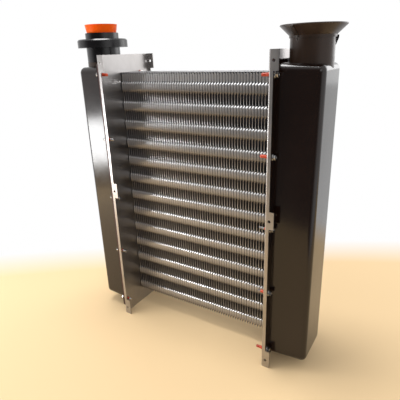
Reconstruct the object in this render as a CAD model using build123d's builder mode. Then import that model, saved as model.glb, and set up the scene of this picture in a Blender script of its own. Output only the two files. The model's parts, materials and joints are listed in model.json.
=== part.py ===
from build123d import *
import math
import os

os.makedirs("parts", exist_ok=True)

# Furnace heat exchanger: a finned tube core between two sheet-metal tube
# plates, a drawn header pan screwed over the outside of each plate, and a
# pipe on top of each header. X runs from the left header to the right one,
# -Y is the front, Z is up. The origin is on the ground, midway between the
# plates and midway through their depth. Lengths are in millimetres.

# Tube plates
plate_pitch = 287.0  # from one plate to the other, same face to same face
plate_thickness = 1.5
plate_depth = 126.0
plate_rise = 16.0  # plate beyond each end of the pans
bend_radius = 2.0
edge_flange_width = 6.0
tab_width = 13.0
top_tab_height = 25.0
mid_tab_height = 26.0
bottom_tab_height = 30.5
mid_tab_rise = 15.5  # middle of the middle tab above the middle of the plate
tab_hole_diameter = 4.2
tab_hole_inset = 6.4  # from the outside of the bend to the hole
top_hole_drop = 12.6
bottom_hole_rise = 13.4
mid_hole_rise = 14.5

# Core
tube_count = 13
tube_pitch = 32.0
tube_diameter = 16.0
tube_sides = 12  # the hidden tubes are drawn with flats
tube_wall = 1.0
tube_reach = 3.0  # how far a tube end stands into its header
tube_fit = 0.05
core_fit = 1.35  # between the fins and the rear screws' sealant
core_shift = 18.5  # from the middle of the pans back to the tubes
fin_pitch = 4.7
fin_thickness = 0.4
fin_end_gap = 1.5  # least gap between the last fin and a plate
fin_margin = 17.0  # fins beyond the axis of the end tubes

# Header pans and gaskets
gasket_thickness = 3.0
pan_sheet = 2.0
pan_room_out = 4.3  # depth of a pan, gasket to outer face, over the pipe's diameter
pan_width = 79.0
pan_room_up = 29.5  # from the axis of an end tube to the end of a pan
pan_draft_angle = 2.9  # how much each wall leans in, in degrees
pan_corner_radius = 12.0
pan_edge_radius = 8.0
flange_rise = 4.0  # flange beyond each end of the pan
flange_fit = 0.3  # between a flange and the plate's folded edge
flange_corner_radius = 6.0

# Screws and sealant
screws_per_row = 5
screw_end_margin = 17.5  # from the end of a flange to its last screw
screw_sides = 8
screw_diameter = 4.0
screw_reach = 11.4  # beyond the inner face of the plate
screw_fit = 0.1
head_across_flats = 6.4
head_height = 3.4
collar_diameter = 10.4  # the washer formed under each head
collar_fit = 1.8  # between a collar and the wall of the pan
collar_thickness = 1.4
collar_sides = 12
sealant_thickness = 0.6
sealant_fit = 0.05

# Pipes
pipe_diameter = 55.2
pipe_shift_out = 1.65  # from the middle of a pan's depth out to the pipe's axis
pipe_shift_front = 1.0  # from the middle of a pan's width forward to the pipe's axis
socket_rise = 5.0  # above the end of the pan
socket_step = 0.2
socket_fit = 0.1
right_pipe_wall = 2.0
right_pipe_length = 26.0  # above the socket
left_pipe_wall = 3.4
left_pipe_length = 45.0  # above the socket
left_end_step = 0.4  # above the ring the left pipe is turned down by this all round

# Flared mouth
flare_reach = 13.4  # how far the mouth stands out beyond the pipe
flare_height = 12.0
flare_sheet = 1.2
flare_lip = 3.5
flare_fit = 0.1
lap_width_angle = 15.0
lap_angle = 245.0
lap_sheet = 0.8
rivet_diameter = 2.0
rivet_height = 0.6
rivet_sides = 8
clip_angle = 20.0
clip_drop = 13.0
clip_reach = 3.2
clip_thickness = 5.0

# Ring and plug of the left pipe
ring_reach = 13.4  # how far the ring stands out beyond the pipe
ring_rise = 22.5  # from the socket's top to the ring
ring_height = 13.0
ring_chamfer = 2.0
ring_fit = 0.1
plug_rise = 13.0
plug_depth = 15.0
plug_taper = 0.17  # radius gained per millimetre of height
plug_wall = 1.6
plug_fit = 0.1

# Places that follow from the sizes above
half_pitch = plate_pitch / 2
left_outer = -half_pitch - plate_thickness / 2
left_inner = left_outer + plate_thickness
right_inner = half_pitch - plate_thickness / 2
right_outer = right_inner + plate_thickness
front = -plate_depth / 2
rear = plate_depth / 2
pan_height = tube_pitch * (tube_count - 1) + 2 * pan_room_up
pan_depth = pipe_diameter + pan_room_out
flange_width = pan_width + 2 * (collar_diameter + collar_fit)
flange_height = pan_height + 2 * flange_rise
plate_height = pan_height + 2 * plate_rise
mid_height = plate_height / 2
mid_tab_centre = mid_height + mid_tab_rise
pan_y = front + plate_thickness + flange_fit + flange_width / 2
tube_y = pan_y + core_shift
tube_rows = [mid_height + tube_pitch * (i - (tube_count - 1) / 2) for i in range(tube_count)]
tube_radius = tube_diameter / 2
screw_pitch = (flange_height - 2 * screw_end_margin) / (screws_per_row - 1)
screw_row_spacing = flange_width - collar_diameter
screw_rows = [mid_height + screw_pitch * (i - (screws_per_row - 1) / 2) for i in range(screws_per_row)]
screw_radius = screw_diameter / 2
sealant_radius = screw_radius + sealant_fit + sealant_thickness
core_depth = 2 * (screw_row_spacing / 2 - core_shift - sealant_radius - core_fit)
screw_front = pan_y - screw_row_spacing / 2
screw_rear = pan_y + screw_row_spacing / 2
seat_x = right_outer + gasket_thickness + pan_sheet  # outside of a header flange
pipe_x = right_outer + gasket_thickness + pan_depth / 2 + pipe_shift_out
pipe_y = pan_y - pipe_shift_front
pipe_radius = pipe_diameter / 2
socket_top = mid_height + pan_height / 2 + socket_rise
right_pipe_top = socket_top + right_pipe_length
left_pipe_top = socket_top + left_pipe_length
flare_top = right_pipe_top + flare_height
ring_bottom = socket_top + ring_rise
screw_places = [(y, z) for y in (screw_front, screw_rear) for z in screw_rows]
tab_hole_rows = [bottom_hole_rise, mid_height + mid_hole_rise, plate_height - top_hole_drop]


# tube plates: one folded sheet each, both folded towards +X
def tube_plate(outer_x):
    """Folds one tube plate whose web has its left face at outer_x."""
    inner_x = outer_x + plate_thickness
    with BuildPart() as plate:
        with BuildSketch(Plane.XY):
            with BuildLine():
                Polyline(
                    (outer_x + tab_width, front),
                    (outer_x, front),
                    (outer_x, rear),
                    (outer_x + tab_width, rear),
                    (outer_x + tab_width, rear - plate_thickness),
                    (inner_x, rear - plate_thickness),
                    (inner_x, front + plate_thickness),
                    (outer_x + tab_width, front + plate_thickness),
                    close=True,
                )
            make_face()
            bends = vertices().filter_by(lambda v: abs(v.X - outer_x) < 0.01)
            fillet(bends, bend_radius)
        extrude(amount=plate_height)
        # the sheet between the tabs is cut back to a narrow flange
        tab_tops = [bottom_tab_height, mid_tab_centre + mid_tab_height / 2]
        tab_feet = [mid_tab_centre - mid_tab_height / 2, plate_height - top_tab_height]
        for low, high in zip(tab_tops, tab_feet):
            with BuildSketch(Plane.XZ):
                with Locations((outer_x + edge_flange_width, low)):
                    Rectangle(tab_width, high - low, align=(Align.MIN, Align.MIN))
            extrude(amount=plate_depth, both=True, mode=Mode.SUBTRACT)
        with BuildSketch(Plane.XZ):
            with Locations(*[(outer_x + tab_hole_inset, z) for z in tab_hole_rows]):
                Circle(tab_hole_diameter / 2)
        extrude(amount=plate_depth, both=True, mode=Mode.SUBTRACT)
        with BuildSketch(Plane.YZ.offset(outer_x)):
            with Locations(*[(tube_y, z) for z in tube_rows]):
                RegularPolygon(tube_radius + tube_fit, tube_sides)
            with Locations(*screw_places):
                RegularPolygon(screw_radius + screw_fit, screw_sides, major_radius=False)
        extrude(amount=plate_thickness, mode=Mode.SUBTRACT)
    return plate


left_tube_plate = tube_plate(left_outer)
left_tube_plate.part.label = "left_tube_plate"
export_step(left_tube_plate.part, "parts/left_tube_plate.step")

right_tube_plate = tube_plate(right_inner)
right_tube_plate.part.label = "right_tube_plate"
export_step(right_tube_plate.part, "parts/right_tube_plate.step")

# tubes: open at both ends, from header to header
with BuildPart() as tubes:
    with BuildSketch(Plane.YZ.offset(left_outer - tube_reach)):
        with Locations(*[(tube_y, z) for z in tube_rows]):
            RegularPolygon(tube_radius, tube_sides)
            RegularPolygon(tube_radius - tube_wall, tube_sides, mode=Mode.SUBTRACT)
    extrude(amount=right_outer - left_outer + 2 * tube_reach)
tubes.part.label = "tubes"
export_step(tubes.part, "parts/tubes.step")

# fins: thin plates held front and rear against the whole row of tubes
clear_length = right_inner - left_inner - 2 * fin_end_gap - fin_thickness
fin_count = int(clear_length // fin_pitch) + 1
fin_low = tube_rows[0] - fin_margin
fin_high = tube_rows[-1] + fin_margin
slot_depth = tube_diameter + 2 * tube_fit
fin_places = [fin_pitch * (i - (fin_count - 1) / 2) - fin_thickness / 2 for i in range(fin_count)]
with BuildPart() as fins:
    with BuildSketch(*[Plane.YZ.offset(x) for x in fin_places]):
        with Locations((tube_y, (fin_low + fin_high) / 2)):
            Rectangle(core_depth, fin_high - fin_low)
            Rectangle(slot_depth, tube_rows[-1] - tube_rows[0] + slot_depth, mode=Mode.SUBTRACT)
    extrude(amount=fin_thickness)
fins.part.label = "fins"
export_step(fins.part, "parts/fins.step")


# headers: a gasket and a drawn pan on the outside of each plate
pan_from = right_outer + gasket_thickness
pan_lean = pan_depth * math.tan(math.radians(pan_draft_angle))
# the socket stands on the outer wall, where the rounded edge of the roof begins
socket_foot = mid_height + pan_height / 2 - pan_lean - pan_edge_radius + pan_sheet
# inside, flats take the place of the rounded corners and edges
flat_for_radius = 2 - math.sqrt(2)
inner_corner_flat = flat_for_radius * (pan_corner_radius - pan_sheet)
inner_edge_flat = flat_for_radius * (pan_edge_radius - pan_sheet)

with BuildSketch(Plane.YZ) as pan_opening:
    with Locations((pan_y, mid_height)):
        Rectangle(pan_width - 2 * pan_sheet, pan_height - 2 * pan_sheet)
    chamfer(pan_opening.vertices(), inner_corner_flat)

with BuildPart() as right_gasket:
    with BuildSketch(Plane.YZ.offset(right_outer)):
        with Locations((pan_y, mid_height)):
            RectangleRounded(flange_width, flange_height, flange_corner_radius)
        with Locations(*screw_places):
            RegularPolygon(
                screw_radius + screw_fit, screw_sides, major_radius=False, mode=Mode.SUBTRACT
            )
        add(pan_opening.sketch_local, mode=Mode.SUBTRACT)
    extrude(amount=gasket_thickness)
right_gasket.part.label = "right_gasket"
export_step(right_gasket.part, "parts/right_gasket.step")

with BuildPart() as left_gasket:
    add(right_gasket.part)
    mirror(about=Plane.YZ, mode=Mode.REPLACE)
left_gasket.part.label = "left_gasket"
export_step(left_gasket.part, "parts/left_gasket.step")

with BuildPart() as pan_hollow:
    with BuildSketch(Plane.YZ.offset(pan_from)):
        add(pan_opening.sketch_local)
    extrude(amount=pan_depth - pan_sheet, taper=pan_draft_angle)
    chamfer(pan_hollow.faces().sort_by(Axis.X)[-1].edges(), inner_edge_flat)

with BuildPart() as right_header:
    with BuildSketch(Plane.YZ.offset(pan_from)):
        with Locations((pan_y, mid_height)):
            RectangleRounded(pan_width, pan_height, pan_corner_radius)
    extrude(amount=pan_depth, taper=pan_draft_angle)
    fillet(right_header.faces().sort_by(Axis.X)[-1].edges(), pan_edge_radius)
    with BuildSketch(Plane.YZ.offset(pan_from)):
        with Locations((pan_y, mid_height)):
            RectangleRounded(flange_width, flange_height, flange_corner_radius)
    extrude(amount=pan_sheet)
    add(pan_hollow.part, mode=Mode.SUBTRACT)
    with BuildSketch(Plane.YZ.offset(pan_from)):
        with Locations(*screw_places):
            RegularPolygon(screw_radius + screw_fit, screw_sides, major_radius=False)
    extrude(amount=pan_sheet, mode=Mode.SUBTRACT)
    with BuildSketch(Plane.XY.offset(socket_foot)):
        with Locations((pipe_x, pipe_y)):
            Circle(pipe_radius + socket_step + socket_fit)
    extrude(amount=socket_top - socket_foot, mode=Mode.SUBTRACT)
right_header.part.label = "right_header"
export_step(right_header.part, "parts/right_header.step")

with BuildPart() as left_header:
    add(right_header.part)
    mirror(about=Plane.YZ, mode=Mode.REPLACE)
left_header.part.label = "left_header"
export_step(left_header.part, "parts/left_header.step")


# pipe sockets: short collars welded into the top of the headers
def pipe_socket(side, wall):
    """Makes the collar on one side; side is 1 for right and -1 for left."""
    with BuildPart() as socket:
        with BuildSketch(Plane.XY.offset(socket_foot)):
            with Locations((side * pipe_x, pipe_y)):
                Circle(pipe_radius + socket_step)
                Circle(pipe_radius - wall, mode=Mode.SUBTRACT)
        extrude(amount=socket_top - socket_foot)
    return socket


right_socket = pipe_socket(1, right_pipe_wall)
right_socket.part.label = "right_socket"
export_step(right_socket.part, "parts/right_socket.step")

left_socket = pipe_socket(-1, left_pipe_wall)
left_socket.part.label = "left_socket"
export_step(left_socket.part, "parts/left_socket.step")

# pipes
with BuildPart() as right_pipe:
    with BuildSketch(Plane.XY.offset(socket_top)):
        with Locations((pipe_x, pipe_y)):
            Circle(pipe_radius)
            Circle(pipe_radius - right_pipe_wall, mode=Mode.SUBTRACT)
    extrude(amount=right_pipe_top - socket_top)
right_pipe.part.label = "right_pipe"
export_step(right_pipe.part, "parts/right_pipe.step")

with BuildPart() as left_pipe:
    with BuildSketch(Plane.XY.offset(socket_top)):
        with Locations((-pipe_x, pipe_y)):
            Circle(pipe_radius)
    extrude(amount=ring_bottom + ring_height - socket_top)
    with BuildSketch(Plane.XY.offset(ring_bottom + ring_height)):
        with Locations((-pipe_x, pipe_y)):
            Circle(pipe_radius - left_end_step)
    extrude(amount=left_pipe_top - ring_bottom - ring_height)
    with BuildSketch(Plane.XY.offset(socket_top)):
        with Locations((-pipe_x, pipe_y)):
            Circle(pipe_radius - left_pipe_wall)
    extrude(amount=left_pipe_top - socket_top, mode=Mode.SUBTRACT)
left_pipe.part.label = "left_pipe"
export_step(left_pipe.part, "parts/left_pipe.step")

# flared mouth: a sheet cone whose lip slips over the right pipe
lip_radius = pipe_radius + flare_fit
mouth_radius = pipe_radius + flare_reach
pipe_axis = Axis((pipe_x, pipe_y, 0), (0, 0, 1))
pipe_plane = Plane(origin=(pipe_x, pipe_y, 0), x_dir=(1, 0, 0), z_dir=(0, -1, 0))
with BuildPart() as right_flare:
    with BuildSketch(pipe_plane):
        with BuildLine():
            Polyline(
                (lip_radius, right_pipe_top - flare_lip),
                (lip_radius, right_pipe_top),
                (mouth_radius - flare_sheet / 2, flare_top),
                (mouth_radius, flare_top - flare_sheet),
                (lip_radius + flare_sheet, right_pipe_top - flare_sheet / 2),
                (lip_radius + flare_sheet, right_pipe_top - flare_lip),
                close=True,
            )
        make_face()
    revolve(axis=pipe_axis, revolution_arc=360)
right_flare.part.label = "right_flare"
export_step(right_flare.part, "parts/right_flare.step")

# the lapped end of the cone's sheet, lying on its outside
with BuildPart() as flare_lap:
    lap_start = Plane(
        origin=(pipe_x, pipe_y, 0),
        x_dir=(
            math.cos(math.radians(lap_angle - lap_width_angle / 2)),
            math.sin(math.radians(lap_angle - lap_width_angle / 2)),
            0,
        ),
        z_dir=(
            math.sin(math.radians(lap_angle - lap_width_angle / 2)),
            -math.cos(math.radians(lap_angle - lap_width_angle / 2)),
            0,
        ),
    )
    outside = lip_radius + flare_sheet + flare_fit
    with BuildSketch(lap_start):
        with BuildLine():
            Polyline(
                (outside, right_pipe_top - flare_sheet / 2),
                (mouth_radius + flare_fit, flare_top - flare_sheet),
                (mouth_radius + flare_fit + lap_sheet / 2, flare_top - flare_sheet - lap_sheet),
                (outside + lap_sheet, right_pipe_top - flare_sheet / 2 - lap_sheet / 2),
                (outside + lap_sheet, right_pipe_top - flare_lip),
                (outside, right_pipe_top - flare_lip),
                close=True,
            )
        make_face()
    revolve(axis=pipe_axis, revolution_arc=lap_width_angle)
flare_lap.part.label = "flare_lap"
export_step(flare_lap.part, "parts/flare_lap.step")

# rivets that close the lap: two through the lip and one in the pipe below
lip_outside = lip_radius + flare_sheet
lap_outside = outside + lap_sheet
rivet_height_up = right_pipe_top - flare_lip + rivet_diameter / 2 + flare_fit
rivet_places = [
    (lap_outside, lap_angle - lap_width_angle / 4, rivet_height_up),
    (lap_outside, lap_angle + lap_width_angle / 4, rivet_height_up),
    (pipe_radius, lap_angle, right_pipe_top - flare_lip - rivet_diameter),
]
with BuildPart() as lap_rivets:
    for radius, angle, z in rivet_places:
        outward = Vector(math.cos(math.radians(angle)), math.sin(math.radians(angle)), 0)
        seat = Vector(pipe_x, pipe_y, z) + outward * radius
        with BuildSketch(Plane(origin=seat, x_dir=(0, 0, 1), z_dir=outward)):
            RegularPolygon(rivet_diameter / 2, rivet_sides, major_radius=False)
        extrude(amount=rivet_height)
lap_rivets.part.label = "lap_rivets"
export_step(lap_rivets.part, "parts/lap_rivets.step")

# wedge-shaped clip that hooks the flare's lip to the pipe
clip_out = Vector(math.cos(math.radians(clip_angle)), math.sin(math.radians(clip_angle)), 0)
clip_side = Vector(clip_out.Y, -clip_out.X, 0)
under_lip = right_pipe_top - flare_lip - flare_fit
with BuildPart() as flare_clip:
    with BuildSketch(Plane(origin=(pipe_x, pipe_y, 0), x_dir=clip_out, z_dir=clip_side)):
        with BuildLine():
            Polyline(
                (pipe_radius + flare_fit, right_pipe_top - clip_drop),
                (pipe_radius + clip_reach, under_lip - flare_sheet),
                (pipe_radius + clip_reach, right_pipe_top - flare_sheet),
                (lip_outside + flare_fit, right_pipe_top - flare_sheet),
                (lip_outside + flare_fit, under_lip),
                (pipe_radius + flare_fit, under_lip),
                close=True,
            )
        make_face()
    extrude(amount=clip_thickness / 2, both=True)
flare_clip.part.label = "flare_clip"
export_step(flare_clip.part, "parts/flare_clip.step")

# ring and plug of the left pipe
with BuildPart() as left_ring:
    with BuildSketch(Plane.XY.offset(ring_bottom)):
        with Locations((-pipe_x, pipe_y)):
            Circle(pipe_radius + ring_reach)
    extrude(amount=ring_height)
    chamfer(left_ring.edges().sort_by(Axis.Z)[-1], ring_chamfer)
    with BuildSketch(Plane.XY.offset(ring_bottom)):
        with Locations((-pipe_x, pipe_y)):
            Circle(pipe_radius + ring_fit)
    extrude(amount=ring_height, mode=Mode.SUBTRACT)
left_ring.part.label = "left_ring"
export_step(left_ring.part, "parts/left_ring.step")

plug_low = left_pipe_top - plug_depth
plug_high = left_pipe_top + plug_rise
plug_mid_radius = pipe_radius - left_pipe_wall - plug_fit
with BuildPart() as plug:
    low_radius = plug_mid_radius - plug_depth * plug_taper
    high_radius = plug_mid_radius + plug_rise * plug_taper
    with BuildSketch(Plane(origin=(-pipe_x, pipe_y, 0), x_dir=(1, 0, 0), z_dir=(0, -1, 0))):
        with BuildLine():
            Polyline(
                (0, plug_low),
                (low_radius, plug_low),
                (high_radius, plug_high),
                (high_radius - plug_wall, plug_high),
                (low_radius - plug_wall + plug_wall * plug_taper, plug_low + plug_wall),
                (0, plug_low + plug_wall),
                close=True,
            )
        make_face()
    revolve(axis=Axis((-pipe_x, pipe_y, 0), (0, 0, 1)), revolution_arc=360)
plug.part.label = "plug"
export_step(plug.part, "parts/plug.step")


# screws, and the sealant that coats their points inside the plates
def screw_row(side, y):
    """Drives one row of hexagon-headed screws into one side."""
    shank_end = right_inner - screw_reach
    with BuildPart() as row:
        with BuildSketch(Plane.YZ.offset(shank_end)):
            with Locations(*[(y, z) for z in screw_rows]):
                RegularPolygon(screw_radius, screw_sides, major_radius=False)
        extrude(amount=seat_x - shank_end)
        with BuildSketch(Plane.YZ.offset(seat_x)):
            with Locations(*[(y, z) for z in screw_rows]):
                RegularPolygon(collar_diameter / 2, collar_sides)
        extrude(amount=collar_thickness)
        with BuildSketch(Plane.YZ.offset(seat_x + collar_thickness)):
            with Locations(*[(y, z) for z in screw_rows]):
                RegularPolygon(head_across_flats / 2, 6, major_radius=False)
        extrude(amount=head_height)
        if side < 0:
            mirror(about=Plane.YZ, mode=Mode.REPLACE)
    return row


def sealant_row(side, y):
    """Caps one row of screw points inside one plate."""
    hole = screw_radius + sealant_fit
    depth = screw_reach + sealant_fit
    with BuildPart() as row:
        with BuildSketch(Plane.YZ.offset(right_inner)):
            with Locations(*[(y, z) for z in screw_rows]):
                RegularPolygon(hole + sealant_thickness, screw_sides, major_radius=False)
        extrude(amount=-depth - sealant_thickness)
        with BuildSketch(Plane.YZ.offset(right_inner)):
            with Locations(*[(y, z) for z in screw_rows]):
                RegularPolygon(hole, screw_sides, major_radius=False)
        extrude(amount=-depth, mode=Mode.SUBTRACT)
        if side < 0:
            mirror(about=Plane.YZ, mode=Mode.REPLACE)
    return row


rows = [
    ("left_front", -1, screw_front),
    ("left_rear", -1, screw_rear),
    ("right_front", 1, screw_front),
    ("right_rear", 1, screw_rear),
]
for place, side, y in rows:
    screws = screw_row(side, y)
    screws.part.label = place + "_screws"
    export_step(screws.part, "parts/" + place + "_screws.step")
    sealant = sealant_row(side, y)
    sealant.part.label = place + "_sealant"
    export_step(sealant.part, "parts/" + place + "_sealant.step")
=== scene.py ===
"""Looks of an upright furnace heat exchanger: finned core, folded plates, tanks and pipe ends."""
import json
import logging
import math
from dataclasses import dataclass, field
from enum import Enum
from typing import Callable, Sequence

import bmesh
import bpy
from mathutils import Matrix, Vector

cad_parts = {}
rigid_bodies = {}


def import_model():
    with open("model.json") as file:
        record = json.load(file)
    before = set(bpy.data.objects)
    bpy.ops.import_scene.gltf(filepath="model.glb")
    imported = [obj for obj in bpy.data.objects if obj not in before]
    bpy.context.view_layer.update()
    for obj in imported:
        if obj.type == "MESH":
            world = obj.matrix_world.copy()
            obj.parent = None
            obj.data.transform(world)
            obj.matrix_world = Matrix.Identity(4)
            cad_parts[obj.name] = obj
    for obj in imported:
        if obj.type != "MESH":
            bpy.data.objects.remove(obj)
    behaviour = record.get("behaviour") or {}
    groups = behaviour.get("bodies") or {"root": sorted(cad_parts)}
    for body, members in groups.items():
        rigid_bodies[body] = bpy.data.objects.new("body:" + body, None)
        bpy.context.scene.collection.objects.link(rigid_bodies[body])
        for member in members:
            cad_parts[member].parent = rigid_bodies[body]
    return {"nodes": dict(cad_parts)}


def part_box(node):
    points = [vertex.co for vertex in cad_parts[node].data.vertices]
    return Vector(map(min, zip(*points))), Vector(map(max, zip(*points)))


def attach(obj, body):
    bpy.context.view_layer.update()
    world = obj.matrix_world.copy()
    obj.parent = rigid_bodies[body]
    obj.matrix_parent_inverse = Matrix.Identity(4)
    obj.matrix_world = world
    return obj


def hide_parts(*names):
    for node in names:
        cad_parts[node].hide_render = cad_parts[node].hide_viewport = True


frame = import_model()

log = logging.getLogger("heat_exchanger")
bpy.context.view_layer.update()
MM = 0.001
FINE_RELIEF = 0.2 * MM
SOFT_RELIEF = 0.3 * MM
# A distance too small to matter.
HAIR = 0.001 * MM
# The height of the core's middle above the ground.
CORE_MIDDLE = 237.5 * MM
Point = tuple[float, float, float]


class Side(Enum):
    """The two ends of the core, with the sign of their X."""

    LEFT = -1
    RIGHT = 1


class Row(Enum):
    """The two screw rows of a header."""

    FRONT = "front"
    REAR = "rear"


@dataclass(frozen=True)
class Grain:
    """A cloudy pattern: the width of its blotches, how it is stretched, and how busy it is."""

    width: float
    stretch: Point = (1.0, 1.0, 1.0)
    detail: float = 3.0
    rough: float = 0.5


class NodeSheet:
    """A material's node tree with short calls to add and join nodes."""

    def __init__(self, name: str) -> None:
        """Starts an empty material with its shader.

        Args:
            name: The material's name.
        """
        self.material = bpy.data.materials.new(name)
        self.material.use_nodes = True
        self.tree = self.material.node_tree
        self.shader = self.tree.nodes["Principled BSDF"]
        self.coords = self.tree.nodes.new("ShaderNodeTexCoord")

    def node(self, kind: str, **settings: object) -> bpy.types.Node:
        """Adds a node and sets its properties, or its sockets where a name is a socket's.

        Args:
            kind: The node's type.
            settings: Properties, and socket values written with underscores for spaces.

        Returns:
            The new node.
        """
        made = self.tree.nodes.new(kind)
        for name, value in settings.items():
            if hasattr(made, name):
                setattr(made, name, value)
            else:
                made.inputs[name.replace("_", " ")].default_value = value
        return made

    def link(self, source: bpy.types.NodeSocket, target: bpy.types.NodeSocket) -> None:
        """Joins an output socket to an input socket."""
        self.tree.links.new(source, target)

    def noise(self, grain: Grain) -> bpy.types.NodeSocket:
        """Adds a cloudy pattern on the object's own coordinates.

        Args:
            grain: The pattern.

        Returns:
            The pattern's value.
        """
        mapping = self.node("ShaderNodeMapping", vector_type="POINT")
        mapping.inputs["Scale"].default_value = grain.stretch
        self.link(self.coords.outputs["Object"], mapping.inputs["Vector"])
        made = self.node("ShaderNodeTexNoise", noise_dimensions="3D")
        made.inputs["Scale"].default_value = 1.0 / grain.width
        made.inputs["Detail"].default_value = grain.detail
        made.inputs["Roughness"].default_value = grain.rough
        self.link(mapping.outputs["Vector"], made.inputs["Vector"])
        return made.outputs["Fac"]

    def ramp(
        self, value: bpy.types.NodeSocket, stops: tuple[float, float], low: Point, high: Point
    ) -> bpy.types.NodeSocket:
        """Maps a value to a colour between two.

        Args:
            value: The value from 0 to 1.
            stops: Where the low and the high colour stand.
            low: The colour up to the first stop.
            high: The colour from the second stop on.

        Returns:
            The colour.
        """
        made = self.node("ShaderNodeValToRGB")
        for element, place, colour in zip(made.color_ramp.elements, stops, (low, high)):
            element.position = place
            element.color = (*colour, 1.0)
        self.link(value, made.inputs["Fac"])
        return made.outputs["Color"]

    def span(
        self,
        value: bpy.types.NodeSocket,
        low: float,
        high: float,
        start: float = 0.0,
        end: float = 1.0,
    ) -> bpy.types.NodeSocket:
        """Maps a value from start..end to low..high, held at both ends.

        Args:
            value: The value to map.
            low: What start becomes.
            high: What end becomes.
            start: Where the range begins.
            end: Where the range ends.

        Returns:
            The mapped value.
        """
        made = self.node("ShaderNodeMapRange", clamp=True)
        made.inputs["From Min"].default_value = start
        made.inputs["From Max"].default_value = end
        made.inputs["To Min"].default_value = low
        made.inputs["To Max"].default_value = high
        self.link(value, made.inputs["Value"])
        return made.outputs["Result"]

    def combine(
        self, a: bpy.types.NodeSocket, b: bpy.types.NodeSocket, operation: str
    ) -> bpy.types.NodeSocket:
        """Combines two values by a math operation.

        Args:
            a: The first value.
            b: The second value.
            operation: The operation, such as ADD.

        Returns:
            The result.
        """
        made = self.node("ShaderNodeMath", operation=operation)
        self.link(a, made.inputs[0])
        self.link(b, made.inputs[1])
        return made.outputs[0]

    def mix(
        self,
        share: bpy.types.NodeSocket,
        a: Sequence[float] | bpy.types.NodeSocket,
        b: Sequence[float] | bpy.types.NodeSocket,
    ) -> bpy.types.NodeSocket:
        """Blends two colours by share.

        Args:
            share: How much of b shows, from 0 to 1.
            a: The first colour, or a socket that gives it.
            b: The second colour, or a socket that gives it.

        Returns:
            The blended colour.
        """
        made = self.node("ShaderNodeMix", data_type="RGBA")
        self.link(share, made.inputs[0])
        # Of a mix node's inputs, the seventh and eighth are the two colours.
        for colour, socket in zip((a, b), made.inputs[6:8]):
            if isinstance(colour, bpy.types.NodeSocket):
                self.link(colour, socket)
            else:
                socket.default_value = (*colour, 1.0)
        return made.outputs[2]

    def bump(self, height: bpy.types.NodeSocket, strength: float, distance: float) -> None:
        """Feeds a height into the shader's normal.

        Args:
            height: The height of the surface's fine relief.
            strength: How strongly it shows.
            distance: How deep it is in metres.
        """
        made = self.node("ShaderNodeBump", Strength=strength, Distance=distance)
        self.link(height, made.inputs["Height"])
        self.link(made.outputs["Normal"], self.shader.inputs["Normal"])

    def height(self) -> bpy.types.NodeSocket:
        """Gives the height above the ground.

        Returns:
            The height in metres.
        """
        split = self.node("ShaderNodeSeparateXYZ")
        self.link(self.coords.outputs["Object"], split.inputs[0])
        return split.outputs["Z"]

    def set_roughness(
        self,
        broad: bpy.types.NodeSocket,
        fine: bpy.types.NodeSocket,
        middle: float,
        spread: tuple[float, float],
        fine_spread: tuple[float, float],
        band: tuple[float, float],
    ) -> None:
        """Makes the shader's roughness vary with a broad noise and a fine one.

        Args:
            broad: The broad noise.
            fine: The fine noise.
            middle: The usual roughness.
            spread: What the broad noise adds at its low and high end.
            fine_spread: What the fine noise adds at its low and high end.
            band: The part of the broad noise that counts.
        """
        rough = self.combine(
            self.span(broad, middle + spread[0], middle + spread[1], *band),
            self.span(fine, *fine_spread),
            "ADD",
        )
        self.link(rough, self.shader.inputs["Roughness"])


@dataclass(frozen=True)
class PlateSteel:
    """Cold-rolled plate: bright grey metal with faint upright rolling marks and smudges."""

    name: str = "plate_steel"
    bright: Point = (0.43, 0.412, 0.405)
    dull: Point = (0.35, 0.332, 0.322)
    roughness: float = 0.33
    marks: Grain = Grain(1.2 * MM, (1.0, 1.0, 0.02), 4.0)
    smudges: Grain = Grain(45.0 * MM, (1.0, 1.0, 0.7), 5.0, 0.62)
    smudge_stops: tuple[float, float] = (0.3, 0.62)
    smudge_spread: tuple[float, float] = (-0.03, 0.06)
    smudge_band: tuple[float, float] = (0.3, 0.7)
    mark_spread: tuple[float, float] = (-0.03, 0.04)
    mark_relief: float = 0.06

    def make(self) -> bpy.types.Material:
        """Builds the material.

        Returns:
            The material.
        """
        sheet = NodeSheet(self.name)
        rolled = sheet.noise(self.marks)
        smudge = sheet.noise(self.smudges)
        colour = sheet.ramp(smudge, self.smudge_stops, self.dull, self.bright)
        sheet.link(colour, sheet.shader.inputs["Base Color"])
        sheet.set_roughness(
            smudge,
            rolled,
            self.roughness,
            self.smudge_spread,
            self.mark_spread,
            self.smudge_band,
        )
        sheet.shader.inputs["Metallic"].default_value = 1.0
        sheet.bump(rolled, self.mark_relief, FINE_RELIEF)
        return sheet.material


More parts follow.
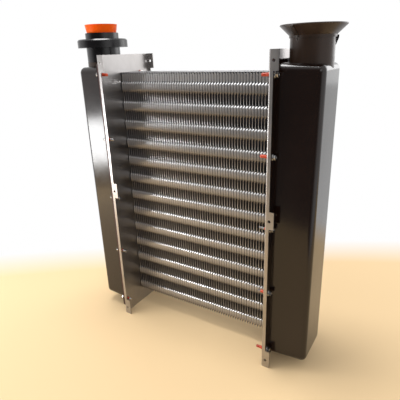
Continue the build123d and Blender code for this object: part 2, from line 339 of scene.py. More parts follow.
@dataclass(frozen=True)
class FinStock:
    """Thin bright aluminium, with light and shade painted in by the way each face turns.

    Faces that look up get a painted highlight, which is dimmer in the lower rows. Faces that look
    down get a warm painted shade, and fin faces inside the gaps a darker painted shade.
    """

    name: str = "fin_stock"
    # Painted highlight on faces that look up; the second colour is that painted highlight dimmed
    # in the lower rows.
    painted_top_highlight: Point = (0.92, 0.92, 0.93)
    painted_dim_highlight: Point = (0.4, 0.39, 0.385)
    highlight_dimming_heights: tuple[float, float] = (0.05, 0.4)
    # Painted shade on faces that look down.
    lower: Point = (0.06, 0.047, 0.04)
    edge: Point = (0.4, 0.39, 0.39)
    # inner is painted shade on the fin faces inside the gaps, darker than edge, the lips that face
    # front.
    inner: Point = (0.16, 0.15, 0.16)
    edge_range: tuple[float, float] = (0.2, 0.6)
    underside_shade_tilts: tuple[float, float] = (-0.44, -0.02)
    highlight_tilts: tuple[float, float] = (0.1, 0.4)
    roughness: float = 0.3
    metallic: float = 0.7
    cloud: Grain = Grain(50.0 * MM)
    grain: Grain = Grain(1.6 * MM, detail=2.0)
    spread: tuple[float, float] = (-0.03, 0.05)
    cloud_band: tuple[float, float] = (0.3, 0.7)

    def make(self) -> bpy.types.Material:
        """Builds the material.

        Returns:
            The material.
        """
        sheet = NodeSheet(self.name)
        cloud = sheet.noise(self.cloud)
        fine = sheet.noise(self.grain)
        geometry = sheet.node("ShaderNodeNewGeometry")
        split = sheet.node("ShaderNodeSeparateXYZ")
        sheet.link(geometry.outputs["Normal"], split.inputs[0])
        outward = sheet.combine(split.outputs["Y"], split.outputs["Y"], "MULTIPLY")
        tilt = split.outputs["Z"]
        # Painted shade: fin faces inside the gaps are darker than the lips that face front.
        colour = sheet.mix(sheet.span(outward, 0.0, 1.0, *self.edge_range), self.inner, self.edge)
        # Painted shade on faces that look down.
        colour = sheet.mix(sheet.span(tilt, 1.0, 0.0, *self.underside_shade_tilts), colour, self.lower)
        # Painted highlight on faces that look up, dimmer towards the lower rows.
        highlight_share = sheet.span(sheet.height(), 0.0, 1.0, *self.highlight_dimming_heights)
        painted_top_highlight = sheet.mix(highlight_share, self.painted_dim_highlight, self.painted_top_highlight)
        colour = sheet.mix(sheet.span(tilt, 0.0, 1.0, *self.highlight_tilts), colour, painted_top_highlight)
        sheet.link(colour, sheet.shader.inputs["Base Color"])
        sheet.set_roughness(
            cloud, fine, self.roughness, self.spread, self.spread, self.cloud_band
        )
        sheet.shader.inputs["Metallic"].default_value = self.metallic
        return sheet.material


@dataclass(frozen=True)
class TankPaint:
    """Stoved dark paint with a soft orange peel, dusty patches and an uneven gloss."""

    name: str
    base: Point
    dust: Point
    roughness: float
    dust_share: float = 0.35
    refraction: float = 1.5
    cloud: Grain = Grain(60.0 * MM, (1.0, 1.0, 0.6), 6.0, 0.65)
    speck: Grain = Grain(2.8 * MM, rough=0.6)
    dust_band: tuple[float, float] = (0.45, 0.75)
    cloud_spread: tuple[float, float] = (-0.03, 0.06)
    cloud_band: tuple[float, float] = (0.35, 0.75)
    speck_spread: tuple[float, float] = (-0.03, 0.05)
    speck_relief: float = 0.05

    def make(self) -> bpy.types.Material:
        """Builds the material.

        Returns:
            The material.
        """
        sheet = NodeSheet(self.name)
        cloud = sheet.noise(self.cloud)
        speck = sheet.noise(self.speck)
        share = sheet.span(cloud, 0.0, self.dust_share, *self.dust_band)
        colour = sheet.mix(share, self.base, self.dust)
        sheet.link(colour, sheet.shader.inputs["Base Color"])
        sheet.set_roughness(
            cloud, speck, self.roughness, self.cloud_spread, self.speck_spread, self.cloud_band
        )
        sheet.shader.inputs["IOR"].default_value = self.refraction
        sheet.bump(speck, self.speck_relief, FINE_RELIEF)
        return sheet.material


@dataclass(frozen=True)
class OrangePlastic:
    """Soft moulded cap plastic, bright orange, with a fine mould grain."""

    name: str = "orange_plastic"
    base: Point = (1.0, 0.13, 0.0)
    deep: Point = (1.0, 0.1, 0.0)
    roughness: tuple[float, float] = (0.3, 0.46)
    glow: float = 0.06
    glow_reach: Point = (0.004, 0.001, 0.0005)
    shine: float = 0.12
    cloud: Grain = Grain(20.0 * MM)
    grain: Grain = Grain(1.2 * MM, detail=2.0)
    cloud_stops: tuple[float, float] = (0.3, 0.6)
    grain_relief: float = 0.05

    def make(self) -> bpy.types.Material:
        """Builds the material.

        Returns:
            The material.
        """
        sheet = NodeSheet(self.name)
        cloud = sheet.noise(self.cloud)
        grain = sheet.noise(self.grain)
        colour = sheet.ramp(cloud, self.cloud_stops, self.deep, self.base)
        sheet.link(colour, sheet.shader.inputs["Base Color"])
        sheet.link(sheet.span(grain, *self.roughness), sheet.shader.inputs["Roughness"])
        sheet.shader.inputs["Subsurface Weight"].default_value = self.glow
        sheet.shader.inputs["Specular IOR Level"].default_value = self.shine
        sheet.shader.inputs["Subsurface Radius"].default_value = self.glow_reach
        sheet.bump(grain, self.grain_relief, FINE_RELIEF)
        return sheet.material


@dataclass(frozen=True)
class ScrewMetal:
    """Zinc-plated screw steel."""

    name: str = "screw_metal"
    base: Point = (0.46, 0.45, 0.45)
    deep: Point = (0.3, 0.29, 0.28)
    roughness: tuple[float, float] = (0.14, 0.26)
    cloud: Grain = Grain(3.0 * MM)
    cloud_stops: tuple[float, float] = (0.3, 0.65)

    def make(self) -> bpy.types.Material:
        """Builds the material.

        Returns:
            The material.
        """
        sheet = NodeSheet(self.name)
        cloud = sheet.noise(self.cloud)
        colour = sheet.ramp(cloud, self.cloud_stops, self.deep, self.base)
        sheet.link(colour, sheet.shader.inputs["Base Color"])
        sheet.link(sheet.span(cloud, *self.roughness), sheet.shader.inputs["Roughness"])
        sheet.shader.inputs["Metallic"].default_value = 1.0
        return sheet.material


@dataclass(frozen=True)
class Lacquer:
    """Thick glossy sealing lacquer, or the rubber of a gasket."""

    name: str
    base: Point
    deep: Point
    roughness: float = 0.22
    roughness_rise: float = 0.15
    cloud: Grain = Grain(4.0 * MM)
    cloud_stops: tuple[float, float] = (0.3, 0.6)
    relief: float = 0.15

    def make(self) -> bpy.types.Material:
        """Builds the material.

        Returns:
            The material.
        """
        sheet = NodeSheet(self.name)
        cloud = sheet.noise(self.cloud)
        colour = sheet.ramp(cloud, self.cloud_stops, self.deep, self.base)
        sheet.link(colour, sheet.shader.inputs["Base Color"])
        rough = sheet.span(cloud, self.roughness, self.roughness + self.roughness_rise)
        sheet.link(rough, sheet.shader.inputs["Roughness"])
        sheet.bump(cloud, self.relief, SOFT_RELIEF)
        return sheet.material


@dataclass
class Finishes:
    """Every finish of the object, each made once."""

    plate: bpy.types.Material = field(default_factory=lambda: PlateSteel().make())
    fin: bpy.types.Material = field(default_factory=lambda: FinStock().make())
    tube: bpy.types.Material = field(
        default_factory=lambda: PlateSteel(
            "tube_metal", (0.5, 0.47, 0.44), (0.36, 0.33, 0.3), 0.4
        ).make()
    )
    tank: bpy.types.Material = field(
        default_factory=lambda: TankPaint(
            "tank_paint", (0.0085, 0.0035, 0.0022), (0.017, 0.008, 0.0055), 0.15, 0.4, 1.5
        ).make()
    )
    pipe: bpy.types.Material = field(
        default_factory=lambda: TankPaint(
            "pipe_paint", (0.03, 0.0165, 0.0105), (0.055, 0.034, 0.023), 0.3, 0.5, 1.38
        ).make()
    )
    # The lap strip and its rivets are a lighter brown than the pipe: the pipe's paint with a
    # painted reflection of the light the strip catches.
    lap: bpy.types.Material = field(
        default_factory=lambda: TankPaint(
            "lap_paint_and_sheen", (0.034, 0.023, 0.017), (0.055, 0.04, 0.031), 0.3
        ).make()
    )
    ring: bpy.types.Material = field(
        default_factory=lambda: TankPaint(
            "ring_paint", (0.0055, 0.0048, 0.006), (0.012, 0.011, 0.0125), 0.2
        ).make()
    )
    plug: bpy.types.Material = field(default_factory=lambda: OrangePlastic().make())
    screw: bpy.types.Material = field(default_factory=lambda: ScrewMetal().make())
    lacquer: bpy.types.Material = field(
        default_factory=lambda: Lacquer(
            "red_lacquer", (0.58, 0.062, 0.016), (0.34, 0.024, 0.008)
        ).make()
    )
    gasket: bpy.types.Material = field(
        default_factory=lambda: Lacquer(
            "gasket_rubber", (0.06, 0.01, 0.007), (0.03, 0.005, 0.003), 0.5
        ).make()
    )


def clear_selection() -> None:
    """Leaves edit mode and deselects everything."""
    if bpy.context.object is not None and bpy.context.object.mode != "OBJECT":
        bpy.ops.object.mode_set(mode="OBJECT")
    bpy.ops.object.select_all(action="DESELECT")


def make_active(piece: bpy.types.Object) -> None:
    """Selects one piece alone and makes it the active one.

    Args:
        piece: The piece.
    """
    clear_selection()
    piece.select_set(True)
    bpy.context.view_layer.objects.active = piece


def adopt(piece: bpy.types.Object, material: bpy.types.Material) -> None:
    """Puts one material on a piece."""
    piece.data.materials.clear()
    piece.data.materials.append(material)


def hand_over(
    piece: bpy.types.Object, node: str, material: bpy.types.Material, degrees: float
) -> bpy.types.Object:
    """Dresses a finished piece and lets it stand for a node of the model.

    Args:
        piece: The finished piece.
        node: The node it stands for.
        material: Its material.
        degrees: The angle above which its edges stay sharp.

    Returns:
        The piece.
    """
    smooth(piece, degrees)
    adopt(piece, material)
    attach(piece, "root")
    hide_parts(node)
    return piece


def settle(piece: bpy.types.Object, name: str) -> bpy.types.Object:
    """Names a piece and moves its place into its mesh.

    Args:
        piece: The finished piece.
        name: Its name.

    Returns:
        The piece.
    """
    make_active(piece)
    bpy.ops.object.transform_apply(location=True, rotation=True, scale=True)
    piece.name = name
    piece.data.name = name
    return piece


def pick(kind: str, test: Callable[[Vector], bool]) -> None:
    """Selects the vertices, edges or faces of the edited mesh whose centre passes a test.

    Args:
        kind: VERT, EDGE or FACE.
        test: Tells whether a centre is wanted.
    """
    bpy.ops.mesh.select_mode(type=kind)
    bpy.ops.mesh.select_all(action="DESELECT")
    mesh = bmesh.from_edit_mesh(bpy.context.object.data)
    if kind == "VERT":
        chosen = [v for v in mesh.verts if test(v.co)]
    elif kind == "EDGE":
        chosen = [e for e in mesh.edges if test((e.verts[0].co + e.verts[1].co) / 2)]
    else:
        chosen = [f for f in mesh.faces if test(f.calc_center_median())]
    for item in chosen:
        item.select_set(True)
    mesh.select_flush_mode()
    bmesh.update_edit_mesh(bpy.context.object.data)


def cut_across(z: float) -> None:
    """Cuts the whole edited mesh with a level plane at a height."""
    bpy.ops.mesh.select_all(action="SELECT")
    bpy.ops.mesh.bisect(plane_co=(0.0, 0.0, z), plane_no=(0.0, 0.0, 1.0))


def squeeze(factor: float, z: float = 0.0) -> None:
    """Scales the width of the selection by a factor, about a centre at a height."""
    bpy.ops.transform.resize(value=(factor, factor, 1.0), center_override=(0.0, 0.0, z))


def apply_modifier(piece: bpy.types.Object, kind: str, **settings: object) -> None:
    """Adds a modifier with its settings and applies it.

    Args:
        piece: The piece to change.
        kind: The modifier's type.
        settings: The modifier's properties.
    """
    make_active(piece)
    modifier = piece.modifiers.new(kind.lower(), kind)
    for name, value in settings.items():
        setattr(modifier, name, value)
    bpy.ops.object.modifier_apply(modifier=modifier.name)


def smooth(piece: bpy.types.Object, degrees: float) -> None:
    """Shades a piece smooth, with edges kept sharp above an angle in degrees."""
    make_active(piece)
    bpy.ops.object.shade_smooth_by_angle(angle=math.radians(degrees))


def join(pieces: Sequence[bpy.types.Object]) -> bpy.types.Object:
    """Joins pieces into the first one.

    Args:
        pieces: The pieces.

    Returns:
        The first piece.
    """
    clear_selection()
    for piece in pieces:
        piece.select_set(True)
    bpy.context.view_layer.objects.active = pieces[0]
    bpy.ops.object.join()
    return pieces[0]


def copy_at(master: bpy.types.Object, place: Vector, turn: float) -> bpy.types.Object:
    """Copies a piece with its own mesh, turned about the vertical and set at a place.

    Args:
        master: The piece to copy.
        place: Where the copy stands.
        turn: Its turn about the vertical in radians.

    Returns:
        The copy.
    """
    made = master.copy()
    made.data = master.data.copy()
    bpy.context.collection.objects.link(made)
    made.matrix_world = Matrix.Translation(place) @ Matrix.Rotation(turn, 4, "Z")
    return made


@dataclass
class FinPack:
    """The pack of thin upright fins, whose edges roll over into a bulge at each tube row.

    The bulges are widest a little below the rows, steep above their crests and long below them.
    On a bulge a fin's lip closes the gap to the next fin. Between bulges it stays narrow.
    """

    finish: Finishes
    rows: int = 13
    row_pitch: float = 32.0 * MM
    middle: float = CORE_MIDDLE
    crest_drop: float = 3.0 * MM
    upper_flank: float = 4.4 * MM
    lower_flank: float = 12.2 * MM
    steps: tuple[float, ...] = (0.35, 0.65, 0.87, 1.0)
    sheet: float = 0.32 * MM
    recess: float = 2.6 * MM
    open_lip: float = 0.8 * MM
    closed_lip: float = 3.5 * MM
    lip_drop: float = 0.4 * MM
    lip_lift: float = 2.4 * MM
    comb: float = 5.0 * MM
    comb_lip: float = 0.6 * MM
    top_lip: float = 2.4 * MM
    top_slant: float = 5.5 * MM
    pitch: float = 4.7 * MM
    count: int = 61
    corner: float = 4.0 * MM
    margin: float = 0.5 * MM
    tolerance: float = 0.01 * MM
    last_lip_share: float = 0.2
    knocked: tuple[tuple[int, float], ...] = (
        (22, 2.2 * MM),
        (23, 3.0 * MM),
        (25, -1.8 * MM),
        (26, 2.6 * MM),
        (46, 1.8 * MM),
        (8, 1.2 * MM),
    )
    knock_reach: tuple[float, float] = (-0.6 * MM, 1.4 * MM)
    knock_height: float = 0.7 * MM
    knock_front: float = -13.0 * MM
    knock_back: float = 0.8 * MM
    knock_down: float = 0.6 * MM
    sharp_degrees: float = 50.0

    def crests(self) -> list[float]:
        """Lists the height of each bulge's crest, a little below its row of tubes."""
        middle = self.middle - self.crest_drop
        return [middle + self.row_pitch * (i - (self.rows - 1) / 2) for i in range(self.rows)]

    def stations(self) -> list[float]:
        """Lists the heights from a crest, from below it to above it, where a fin is creased."""
        below = [-self.lower_flank * step for step in reversed(self.steps)]
        return [*below, 0.0, *(self.upper_flank * step for step in self.steps)]

    def station_at(self, z: float) -> float | None:
        """Tells which crease a height is on.

        Args:
            z: A height on the fin.

        Returns:
            The crease's place from its crest, or None away from all creases.
        """
        for crest in self.crests():
            for station in self.stations():
                if abs(z - crest - station) < self.tolerance:
                    return station
        return None

    def depth_at(self, station: float | None) -> float:
        """Gives how far a fin's edge lies back from the crests.

        Args:
            station: A crease's place from its crest, or None away from all creases.

        Returns:
            The depth, on an arc over a bulge and the full recess elsewhere.
        """
        if station is None:
            return self.recess
        flank = self.upper_flank if station > 0.0 else self.lower_flank
        return self.recess * (1.0 - math.sqrt(max(0.0, 1.0 - (station / flank) ** 2)))

    def is_closed(self, z: float, top: float) -> bool:
        """Tells whether the lip reaches the next fin at a height.

        Args:
            z: A height on the fin.
            top: The height of the fin's top edge.

        Returns:
            True on the bulges, and from the last crest up to the slanted top.
        """
        if z > self.crests()[-1]:
            return z < top - self.tolerance
        station = self.station_at(z)
        return station is not None and -self.lower_flank < station < self.upper_flank

    def one_fin(self, low: Vector, high: Vector) -> bpy.types.Object:
        """Presses one flat fin into shape.

        Args:
            low: The lowest corner of the pack.
            high: The highest corner of the pack.

        Returns:
            The first fin, at the pack's left end.
        """
        clear_selection()
        half = self.sheet / 2
        front, rear, top = low.y + half, high.y - half, high.z - half
        centre = Vector((self.first_x(), (front + rear) / 2, (low.z + top) / 2))
        bpy.ops.mesh.primitive_plane_add(size=1.0, location=centre)
        fin = bpy.context.object
        fin.rotation_euler = (0.0, math.pi / 2, 0.0)
        fin.scale = (top - low.z, rear - front, 1.0)
        settle(fin, "fins_ridged")
        bpy.ops.object.mode_set(mode="EDIT")
        cuts = [crest + station for crest in self.crests() for station in self.stations()]
        cuts += [crest + self.upper_flank + self.comb for crest in self.crests()[:-1]]
        for cut in [*cuts, top - self.top_slant]:
            if low.z + self.margin < cut < top - self.margin:
                cut_across(cut)
        self.roll_edge(front, 1.0, top)
        self.roll_edge(rear, -1.0, top)
        inner_front, inner_rear = front + self.corner, rear - self.corner
        pick("EDGE", lambda co: co.z > top - self.tolerance and inner_front < co.y < inner_rear)
        bpy.ops.mesh.extrude_edges_move(
            TRANSFORM_OT_translate={"value": (self.top_lip, 0.0, 0.0)}
        )
        bpy.ops.object.mode_set(mode="OBJECT")
        return fin

    def roll_edge(self, edge: float, inward: float, top: float) -> None:
        """Sets an edge of the fin back between the rows and turns it over, widest on the bulges.

        Args:
            edge: The edge's place in depth.
            inward: 1 where the fin lies behind the edge, -1 where it lies before it.
            top: The height of the fin's top edge.
        """
        for station in (None, *self.stations()):
            depth = self.depth_at(station)
            if depth > 0.0:
                pick(
                    "VERT",
                    lambda co: abs(co.y - edge) < self.tolerance
                    and self.station_at(co.z) == station,
                )
                bpy.ops.transform.translate(value=(0.0, inward * depth, 0.0))
        reach = self.recess + self.tolerance
        pick("EDGE", lambda co: abs(co.y - edge) < reach)
        bpy.ops.mesh.extrude_edges_move(
            TRANSFORM_OT_translate={"value": (self.open_lip, 0.0, 0.0)}
        )
        beyond = self.first_x() + self.open_lip / 2
        pick(
            "VERT",
            lambda co: abs(co.y - edge) < reach and co.x > beyond and self.is_closed(co.z, top),
        )
        widening = self.closed_lip - self.open_lip
        bpy.ops.transform.translate(value=(widening, inward * self.lip_drop, self.lip_lift))
        feet = [crest + self.upper_flank - self.tolerance for crest in self.crests()[:-1]]
        pick(
            "VERT",
            lambda co: abs(co.y - edge) < reach
            and co.x > beyond
            and any(abs(co.z - foot) < 2 * self.tolerance for foot in feet),
        )
        bpy.ops.transform.translate(value=(self.comb_lip, 0.0, 0.0))

    def first_x(self) -> float:
        """Gives the place of the first fin along the core."""
        return -(self.count - 1) / 2 * self.pitch

    def bend_tops(self, fins: bpy.types.Object, high: Vector) -> None:
        """Pushes over the top front corners of the knocked fins, and narrows the last fin's lips.

        Args:
            fins: The pack.
            high: The highest corner of the pack.
        """
        make_active(fins)
        bpy.ops.object.mode_set(mode="EDIT")
        near, far = self.knock_reach
        for index, push in self.knocked:
            x = self.first_x() + index * self.pitch
            pick(
                "VERT",
                lambda co: near < co.x - x < far
                and co.z > high.z - self.knock_height
                and co.y < self.knock_front,
            )
            bpy.ops.transform.translate(value=(push, self.knock_back, -self.knock_down))
        last = -self.first_x()
        pick("VERT", lambda co: abs(co.x - last) < self.tolerance)
        bpy.ops.mesh.select_linked()
        bpy.ops.transform.resize(
            value=(self.last_lip_share, 1.0, 1.0), center_override=(last, 0.0, 0.0)
        )
        bpy.ops.object.mode_set(mode="OBJECT")

    def build(self) -> bpy.types.Object:
        """Builds the whole pack in place of the flat fins.

        Returns:
            The pack.
        """
        low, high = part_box("fins")
        fin = self.one_fin(low, high)
        apply_modifier(
            fin,
            "ARRAY",
            count=self.count,
            use_relative_offset=False,
            use_constant_offset=True,
            constant_offset_displace=(self.pitch, 0.0, 0.0),
        )
        self.bend_tops(fin, high)
        apply_modifier(fin, "SOLIDIFY", thickness=self.sheet, offset=0.0)
        return hand_over(fin, "fins", self.finish.fin, self.sharp_degrees)


@dataclass
class ScrewRows:
    """The self-tapping screws of both headers and the lacquer on their points."""

    finish: Finishes
    shank_facets: int = 14
    collar_facets: int = 28
    cap_facets: int = 16
    rim_share: float = 0.9
    corner_share: float = 0.45
    shank_radius: float = 1.75 * MM
    thread_rise: float = 0.42 * MM
    thread_pitch: float = 1.4 * MM
    flats: float = 6.4 * MM
    head: float = 3.2 * MM
    collar_radius: float = 5.1 * MM
    collar: float = 1.2 * MM
    collar_round: float = 0.45 * MM
    head_sink: float = 0.05 * MM
    head_round: float = 0.3 * MM
    head_rim: float = 0.75 * MM
    head_slope: float = 0.9 * MM
    head_hollow: float = 0.7 * MM
    point_share: float = 0.35
    point_gap: float = 0.2 * MM
    seat_depth: float = 2.0 * MM
    cap_radius: float = 2.45 * MM
    cap_tip_share: float = 0.55
    cap_waists: tuple[tuple[float, float], ...] = (
        (0.08, 1.16),
        (0.2, 0.98),
        (0.38, 0.86),
        (0.6, 0.93),
        (0.8, 1.0),
        (0.93, 0.9),
    )
    middle: float = CORE_MIDDLE
    pitch: float = 104.0 * MM
    count: int = 5
    sharp_degrees: float = 40.0
    bare_coat: float = 0.22
    coats: dict[str, tuple[float, ...]] = field(
        default_factory=lambda: {
            "left_front": (0.5, 0.22, 0.22, 0.22, 1.0),
            "right_front": (1.0, 0.6, 0.22, 1.0, 1.0),
        }
    )

    def shank(self, length: float) -> bpy.types.Object:
        """Turns a threaded shank that points to -X from the origin.

        Args:
            length: The shank's length.

        Returns:
            The shank.
        """
        clear_selection()
        bpy.ops.mesh.primitive_cylinder_add(
            vertices=self.shank_facets, radius=self.shank_radius, depth=length
        )
        shank = bpy.context.object
        bpy.ops.object.mode_set(mode="EDIT")
        turns = int(length / self.thread_pitch)
        point = -length / 2
        for i in range(1, turns * 2):
            cut_across(point + i * self.thread_pitch / 2)
        crests = [point + (2 * i + 1) * self.thread_pitch / 2 for i in range(turns)]
        pick("VERT", lambda co: any(abs(co.z - c) < HAIR for c in crests))
        squeeze(1.0 + self.thread_rise / self.shank_radius)
        pick("VERT", lambda co: co.z < point + HAIR)
        squeeze(self.point_share, point)
        bpy.ops.object.mode_set(mode="OBJECT")
        shank.location = (0.0, 0.0, point)
        return settle(shank, "shank")

    def hexagon_head(self) -> bpy.types.Object:
        """Turns a washer-faced hexagon head that stands on the origin towards +Z.

        Returns:
            The head with its washer.
        """
        clear_selection()
        bpy.ops.mesh.primitive_cylinder_add(
            vertices=self.collar_facets,
            radius=self.collar_radius,
            depth=self.collar,
            location=(0.0, 0.0, self.collar / 2),
        )
        collar = bpy.context.object
        bpy.ops.object.mode_set(mode="EDIT")
        rim = self.collar_radius * self.rim_share
        pick("EDGE", lambda co: co.z > self.collar / 2 - HAIR and math.hypot(co.x, co.y) > rim)
        bpy.ops.mesh.bevel(offset=self.collar_round, segments=2)
        bpy.ops.object.mode_set(mode="OBJECT")
        clear_selection()
        bpy.ops.mesh.primitive_cylinder_add(
            vertices=6,
            radius=self.flats / math.sqrt(3.0),
            depth=self.head,
            location=(0.0, 0.0, self.collar + self.head / 2 - self.head_sink),
        )
        head = bpy.context.object
        bpy.ops.object.mode_set(mode="EDIT")
        top = self.head / 2
        pick("FACE", lambda co: co.z > top - HAIR)
        bpy.ops.mesh.inset(thickness=self.head_rim)
        bpy.ops.mesh.inset(thickness=self.head_slope)
        bpy.ops.transform.translate(value=(0.0, 0.0, -self.head_hollow))
        outer = self.flats * self.corner_share
        pick("EDGE", lambda co: co.z > top - HAIR and math.hypot(co.x, co.y) > outer)
        bpy.ops.mesh.bevel(offset=self.head_round, segments=2)
        bpy.ops.object.mode_set(mode="OBJECT")
        settle(collar, "collar")
        settle(head, "head")
        return join([head, collar])

    def lay_along_x(self, piece: bpy.types.Object) -> bpy.types.Object:
        """Turns a piece that stands on the origin so that its top points to +X."""
        piece.rotation_euler = (0.0, math.pi / 2, 0.0)
        return settle(piece, piece.name)

    def lacquer_cap(self, reach: float) -> bpy.types.Object:
        """Dips a lacquer skin over a point that reaches towards -Z.

        Args:
            reach: How far the skin reaches.

        Returns:
            The skin.
        """
        clear_selection()
        bpy.ops.mesh.primitive_cylinder_add(
            vertices=self.cap_facets, radius=self.cap_radius, depth=reach
        )
        cap = bpy.context.object
        bpy.ops.object.mode_set(mode="EDIT")
        for share, size in self.cap_waists:
            z = reach / 2 - share * reach
            cut_across(z)
            pick("VERT", lambda co: abs(co.z - z) < HAIR)
            squeeze(size, z)
        tip = -reach / 2
        pick("VERT", lambda co: co.z < tip + HAIR)
        squeeze(self.cap_tip_share, tip)
        bpy.ops.object.mode_set(mode="OBJECT")
        cap.location = (0.0, 0.0, tip)
        settle(cap, "cap")
        apply_modifier(cap, "SUBSURF", levels=1, render_levels=1)
        return cap

    def build(self) -> list[bpy.types.Object]:
        """Builds all four rows of screws and of lacquered points.

        Returns:
            The rows.
        """
        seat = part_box("right_header")[0].x + self.seat_depth
        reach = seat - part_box("right_front_screws")[0].x - self.point_gap
        screw = self.lay_along_x(join([self.hexagon_head(), self.shank(reach)]))
        tip, inner = (corner.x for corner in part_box("right_front_sealant"))
        cap = self.lay_along_x(self.lacquer_cap(inner - tip))
        heights = [self.middle + self.pitch * (i - self.count // 2) for i in range(self.count)]
        made: list[bpy.types.Object] = []
        for side in Side:
            turn = 0.0 if side is Side.RIGHT else math.pi
            for row in Row:
                prefix = f"{side.name.lower()}_{row.value}"
                low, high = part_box(prefix + "_screws")
                y = (low.y + high.y) / 2
                screws = [copy_at(screw, Vector((side.value * seat, y, z)), turn) for z in heights]
                caps = [copy_at(cap, Vector((side.value * inner, y, z)), turn) for z in heights]
                coats = self.coats.get(prefix, (self.bare_coat,) * self.count)
                for made_cap, coat in zip(caps, coats):
                    made_cap.scale = (coat, 1.0, 1.0)
                metal, skin = self.finish.screw, self.finish.lacquer
                made.append(self.finish_row(screws, prefix + "_screws", metal))
                made.append(self.finish_row(caps, prefix + "_sealant", skin))
        for master in (screw, cap):
            bpy.data.objects.remove(master)
        return made

    def finish_row(
        self, copies: list[bpy.types.Object], node: str, material: bpy.types.Material
    ) -> bpy.types.Object:
        """Joins one row, dresses it and lets it stand for its node."""
        row = settle(join(copies), node + "_turned")
        return hand_over(row, node, material, self.sharp_degrees)


@dataclass
class SheetAndPipeWork:
    """The plates, tubes, tanks and pipe ends, which keep their own shapes."""

    finish: Finishes

    def dress(self) -> None:
        """Puts the right finish on every carried-over node."""
        finish = self.finish
        chosen = {
            "left_tube_plate": finish.plate,
            "right_tube_plate": finish.plate,
            "tubes": finish.tube,
            "fins": finish.fin,
            "left_gasket": finish.gasket,
            "right_gasket": finish.gasket,
            "left_header": finish.tank,
            "right_header": finish.tank,
            "left_socket": finish.pipe,
            "right_socket": finish.pipe,
            "left_pipe": finish.ring,
            "right_pipe": finish.pipe,
            "right_flare": finish.pipe,
            "flare_lap": finish.lap,
            "lap_rivets": finish.lap,
            "flare_clip": finish.ring,
            "left_ring": finish.ring,
            "plug": finish.plug,
        }
        for name, material in chosen.items():
            adopt(frame["nodes"][name], material)
        log.info("dressed %d nodes", len(chosen))


@dataclass(frozen=True)
class Lamp:
    """A soft rectangular lamp that only its light shows."""

    name: str
    place: Point
    aim: Point
    size: tuple[float, float]
    power: float

    def hang(self) -> None:
        """Hangs the lamp in the scene, turned to what it lights."""
        data = bpy.data.lights.new(self.name, "AREA")
        data.shape = "RECTANGLE"
        data.size, data.size_y = self.size
        data.energy = self.power
        lamp = bpy.data.objects.new(self.name, data)
        bpy.context.scene.collection.objects.link(lamp)
        lamp.location = self.place
        beam = Vector(self.aim) - Vector(self.place)
        lamp.rotation_euler = beam.to_track_quat("-Z", "Y").to_euler()
        lamp.visible_camera = False


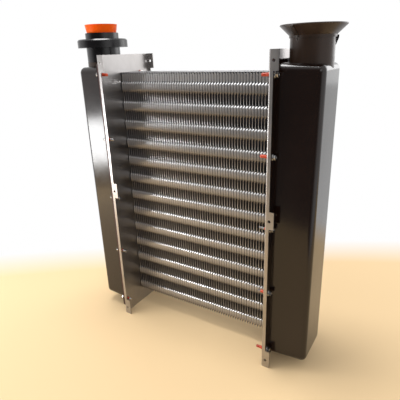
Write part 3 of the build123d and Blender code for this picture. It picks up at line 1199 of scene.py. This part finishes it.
@dataclass
class Studio:
    """A plain pale floor, soft lights and the camera."""

    camera_place: Point = (0.34097, -0.53808, 0.47462)
    yaw: float = 32.543
    pitch: float = 20.360
    roll: float = -2.041
    focal_pixels: float = 399.228
    image_pixels: float = 400.0
    sensor: float = 36.0
    clip_start: float = 0.01
    floor_facets: int = 128
    floor_colour: Point = (0.86, 0.63, 0.36)
    floor_middle: Point = (0.0585, -0.0954, 0.0)
    floor_reach: tuple[float, float] = (1.5, 0.425)
    floor_fade: float = 0.74
    dim_floor: tuple[float, float] = (-0.3, 0.0)
    floor_roughness: float = 0.6
    floor_shine: float = 0.2
    dim_side: Point = (0.05, -1.0, 0.12)
    dim_band: tuple[float, float] = (0.5, 0.86)
    dim_level: float = 0.1
    world_level: float = 0.55
    lamps: tuple[Lamp, ...] = (
        Lamp("top", (-0.28, -0.02, 1.8), (0.0, 0.0, 0.25), (0.6, 0.7), 18.0),
        Lamp("left", (-0.8, -0.63, 0.165), (-0.17, -0.05, 0.32), (0.4, 0.17), 4.0),
        Lamp("rear", (0.9, 1.5, 0.9), (0.1, 0.0, 0.25), (1.2, 1.0), 6.0),
        Lamp("rear_low", (0.7, 1.9, 0.62), (0.2, 0.0, 0.4), (1.4, 0.7), 2.0),
        Lamp("front", (0.8, -1.2, 1.15), (0.0, 0.0, 0.25), (0.9, 0.7), 2.6),
        Lamp("key", (-0.87, -0.74, 1.5), (0.0, 0.0, 0.28), (1.0, 0.3), 4.4),
    )

    def floor(self) -> None:
        """Lays the floor, which turns into the white backdrop away from the object."""
        clear_selection()
        bpy.ops.mesh.primitive_circle_add(
            vertices=self.floor_facets,
            radius=1.0,
            fill_type="NGON",
            location=self.floor_middle,
            rotation=(0.0, 0.0, math.radians(self.yaw)),
        )
        floor = bpy.context.object
        floor.scale = (*self.floor_reach, 1.0)
        settle(floor, "floor")
        sheet = NodeSheet("floor_paper")
        shader = sheet.shader
        shader.inputs["Roughness"].default_value = self.floor_roughness
        shader.inputs["Base Color"].default_value = (*self.floor_colour, 1.0)
        shader.inputs["Specular IOR Level"].default_value = self.floor_shine
        oval = sheet.node("ShaderNodeMapping", vector_type="TEXTURE")
        oval.inputs["Location"].default_value = self.floor_middle
        oval.inputs["Rotation"].default_value = (0.0, 0.0, math.radians(self.yaw))
        oval.inputs["Scale"].default_value = (*self.floor_reach, 1.0)
        away = sheet.node("ShaderNodeVectorMath", operation="LENGTH")
        sheet.link(sheet.coords.outputs["Object"], oval.inputs["Vector"])
        sheet.link(oval.outputs["Vector"], away.inputs[0])
        fade = sheet.span(away.outputs["Value"], 0.0, 1.0, self.floor_fade, 1.0)
        share = sheet.combine(fade, self.backdrop_rays(sheet), "MULTIPLY")
        white = sheet.node("ShaderNodeEmission", Strength=1.0)
        blend = sheet.node("ShaderNodeMixShader")
        sheet.link(share, blend.inputs[0])
        sheet.link(shader.outputs[0], blend.inputs[1])
        sheet.link(white.outputs[0], blend.inputs[2])
        sheet.link(blend.outputs[0], sheet.tree.nodes["Material Output"].inputs["Surface"])
        adopt(floor, sheet.material)

    def backdrop_rays(self, sheet: NodeSheet) -> bpy.types.NodeSocket:
        """Gives 1 for the rays that see the backdrop: camera, glossy and transmission rays.

        On the camera's side, where the room is dim, glossy rays see the lit floor.

        Args:
            sheet: The floor's node tree.

        Returns:
            The share of the backdrop, from 0 to 1.
        """
        path = sheet.node("ShaderNodeLightPath")
        split = sheet.node("ShaderNodeSeparateXYZ")
        sheet.link(sheet.coords.outputs["Object"], split.inputs[0])
        behind = sheet.span(split.outputs["Y"], 0.0, 1.0, *self.dim_floor)
        mirrored = sheet.combine(path.outputs["Is Glossy Ray"], behind, "MULTIPLY")
        seen = sheet.combine(path.outputs["Is Camera Ray"], mirrored, "MAXIMUM")
        return sheet.combine(seen, path.outputs["Is Transmission Ray"], "MAXIMUM")

    def world(self) -> None:
        """Lights the scene from all round, white where it is seen and dim behind the camera."""
        world = bpy.data.worlds.new("studio")
        world.use_nodes = True
        tree = world.node_tree
        background = tree.nodes["Background"]
        background.inputs["Color"].default_value = (1.0, 1.0, 1.0, 1.0)

        def add(kind: str, **settings: object) -> bpy.types.Node:
            """Adds a node to the world and sets its properties.

            Args:
                kind: The node's type.
                settings: The node's properties.

            Returns:
                The new node.
            """
            made = tree.nodes.new(kind)
            for name, value in settings.items():
                setattr(made, name, value)
            return made

        path = add("ShaderNodeLightPath")
        coords = add("ShaderNodeTexCoord")
        towards = add("ShaderNodeVectorMath", operation="DOT_PRODUCT")
        towards.inputs[1].default_value = Vector(self.dim_side).normalized()
        tree.links.new(coords.outputs["Generated"], towards.inputs[0])
        dim = add("ShaderNodeMapRange")
        dim.inputs["From Min"].default_value, dim.inputs["From Max"].default_value = self.dim_band
        dim.inputs["To Min"].default_value = 1.0
        dim.inputs["To Max"].default_value = self.dim_level
        tree.links.new(towards.outputs["Value"], dim.inputs["Value"])
        glossy = add("ShaderNodeMix", data_type="FLOAT")
        glossy.inputs[2].default_value = self.world_level
        tree.links.new(path.outputs["Is Glossy Ray"], glossy.inputs[0])
        tree.links.new(dim.outputs["Result"], glossy.inputs[3])
        clear = add("ShaderNodeMath", operation="MAXIMUM")
        tree.links.new(path.outputs["Is Camera Ray"], clear.inputs[0])
        tree.links.new(path.outputs["Is Transmission Ray"], clear.inputs[1])
        level = add("ShaderNodeMix", data_type="FLOAT")
        level.inputs[3].default_value = 1.0
        tree.links.new(clear.outputs[0], level.inputs[0])
        tree.links.new(glossy.outputs[0], level.inputs[2])
        tree.links.new(level.outputs[0], background.inputs["Strength"])
        bpy.context.scene.world = world

    def camera(self) -> None:
        """Sets the camera at the main view's angle."""
        yaw, pitch, roll = (math.radians(a) for a in (self.yaw, self.pitch, self.roll))
        forward = Vector(
            (-math.sin(yaw) * math.cos(pitch), math.cos(yaw) * math.cos(pitch), -math.sin(pitch))
        )
        level = Vector((math.cos(yaw), math.sin(yaw), 0.0))
        up = level.cross(forward)
        right = level * math.cos(roll) + up * math.sin(roll)
        top = up * math.cos(roll) - level * math.sin(roll)
        data = bpy.data.cameras.new("camera")
        data.sensor_width = self.sensor
        data.lens = self.sensor * self.focal_pixels / self.image_pixels
        data.clip_start = self.clip_start
        camera = bpy.data.objects.new("camera", data)
        bpy.context.scene.collection.objects.link(camera)
        turn = Matrix((right, top, -forward)).transposed().to_4x4()
        camera.matrix_world = Matrix.Translation(self.camera_place) @ turn
        bpy.context.scene.camera = camera

    def build(self) -> None:
        """Builds the whole studio."""
        self.floor()
        self.world()
        for lamp in self.lamps:
            lamp.hang()
        self.camera()


def set_view() -> None:
    """Keeps colours as they are written."""
    bpy.context.scene.view_settings.view_transform = "Standard"


def main() -> None:
    """Builds the looks in order."""
    logging.basicConfig(level=logging.INFO)
    set_view()
    finish = Finishes()
    SheetAndPipeWork(finish).dress()
    for piece in [FinPack(finish).build(), *ScrewRows(finish).build()]:
        log.info("%s: %d faces", piece.name, len(piece.data.polygons))
    Studio().build()


if __name__ == "__main__":
    main()
